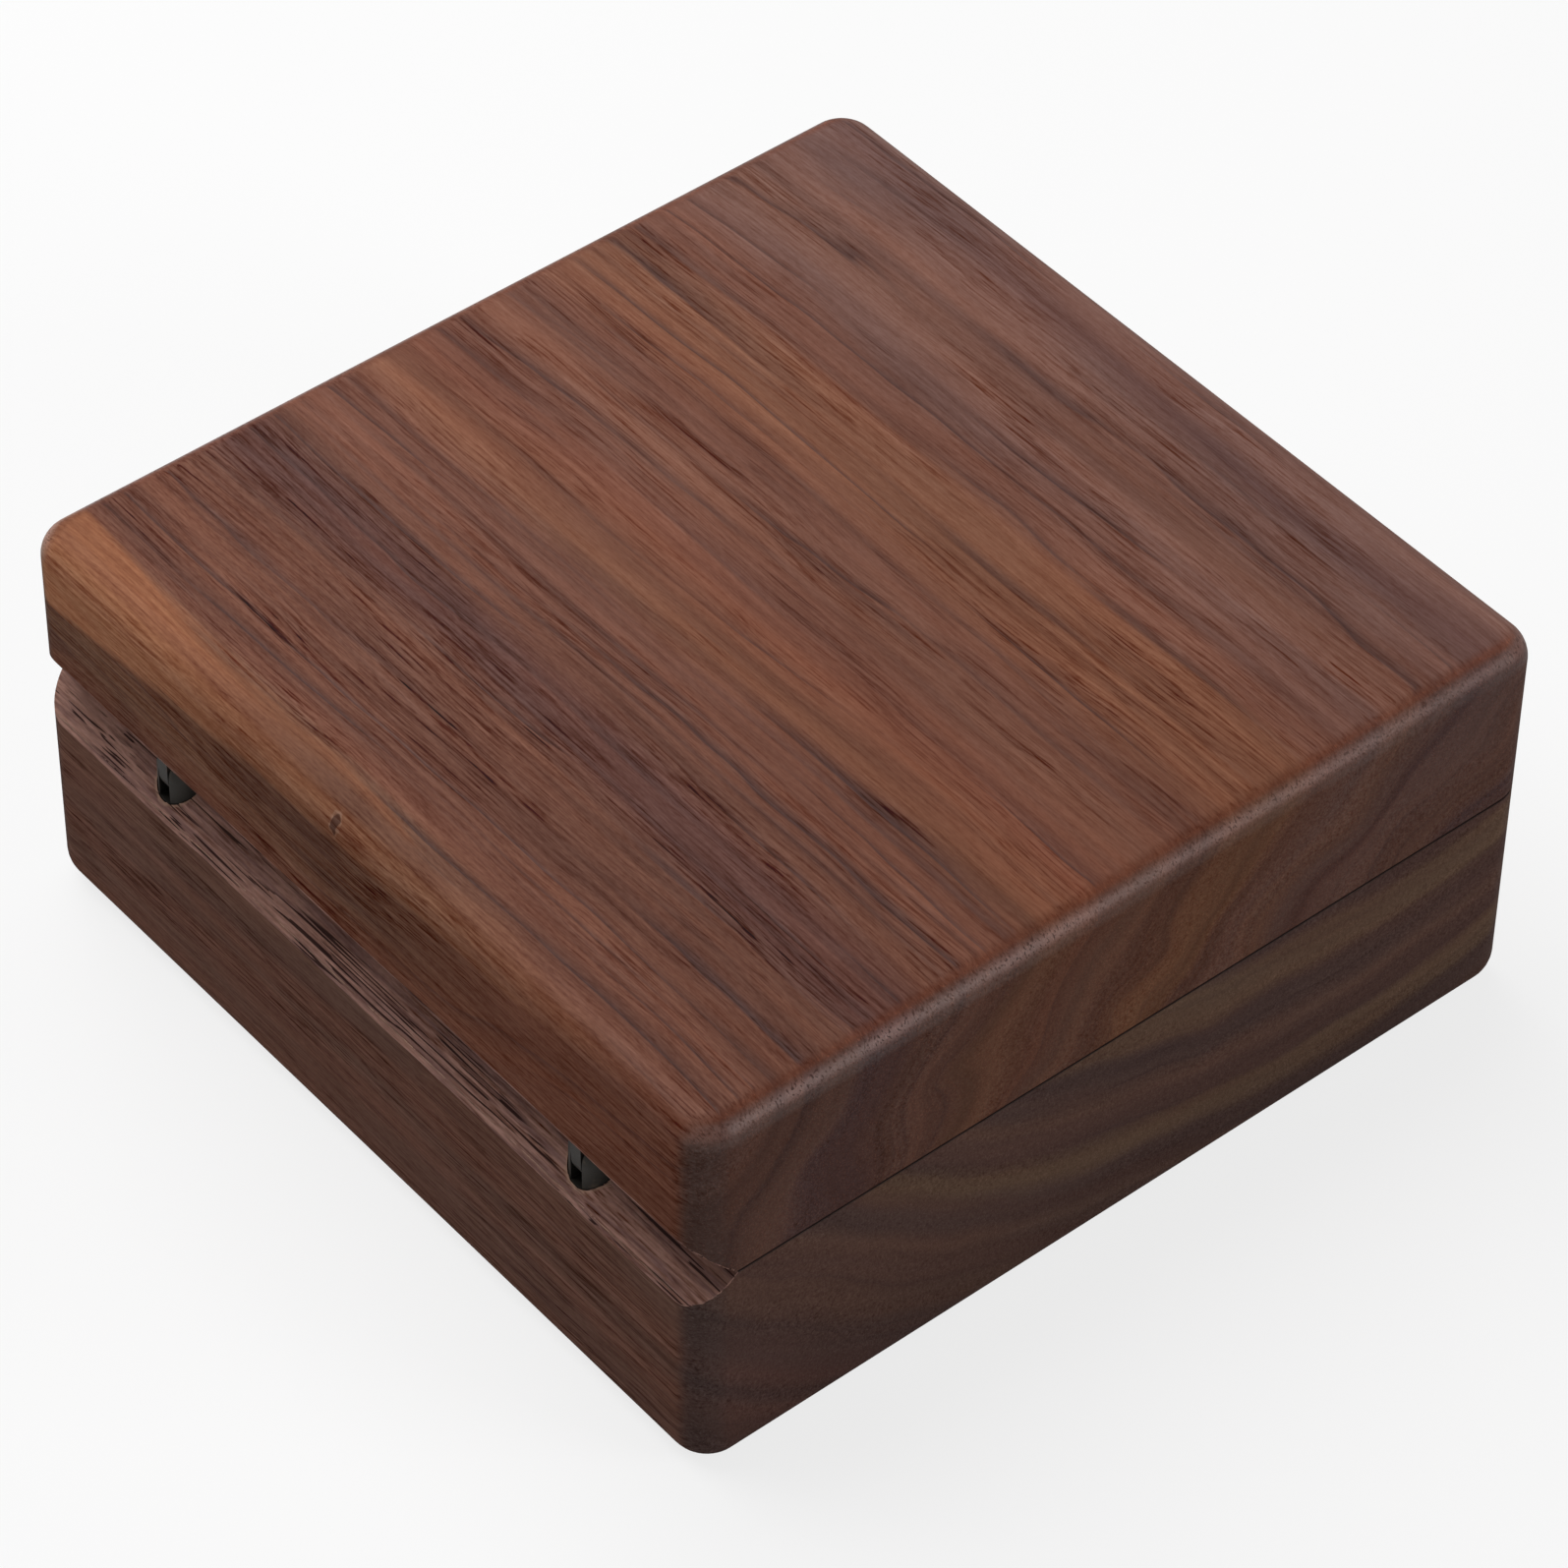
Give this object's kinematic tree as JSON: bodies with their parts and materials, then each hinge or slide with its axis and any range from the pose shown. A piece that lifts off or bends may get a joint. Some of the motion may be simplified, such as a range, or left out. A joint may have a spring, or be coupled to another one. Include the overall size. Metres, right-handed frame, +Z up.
{
  "type": "hinged wooden box",
  "caption": "Small square walnut box milled from solid wood, with rounded edges, a lid on barrel hinges set in a V groove along the back, and a hollow in base and lid.",
  "frame": {"origin": "on the surface that the box stands on, under the middle of the box", "axes": "+Z up, +X along the hinged edge to the right as seen from the front, -Y towards the front that opens, hinges at +Y"},
  "size_m": [0.1, 0.1, 0.045],
  "materials": {
    "walnut_base": "oiled satin walnut, dark",
    "walnut_lid": "oiled satin walnut, reddish brown",
    "hinge_metal": "blackened, dull",
    "pin_steel": "plain drawn wire",
    "magnet_plating": "bright nickel plating"
  },
  "bodies": {
    "base": {"base_box": "walnut_base", "left_hinge_base_barrel": "hinge_metal", "left_hinge_pin": "pin_steel", "right_hinge_base_barrel": "hinge_metal", "right_hinge_pin": "pin_steel", "left_base_magnet": "magnet_plating", "right_base_magnet": "magnet_plating"},
    "lid": {"lid": "walnut_lid", "left_hinge_lid_barrel": "hinge_metal", "right_hinge_lid_barrel": "hinge_metal", "left_lid_magnet": "magnet_plating", "right_lid_magnet": "magnet_plating"}
  },
  "joints": [
    {"name": "lid_hinge", "type": "hinge", "parent": "base", "child": "lid", "pos_m": [0, 0.046, 0.026], "axis": [-1, 0, 0], "range_deg": [0, 90]}
  ]
}
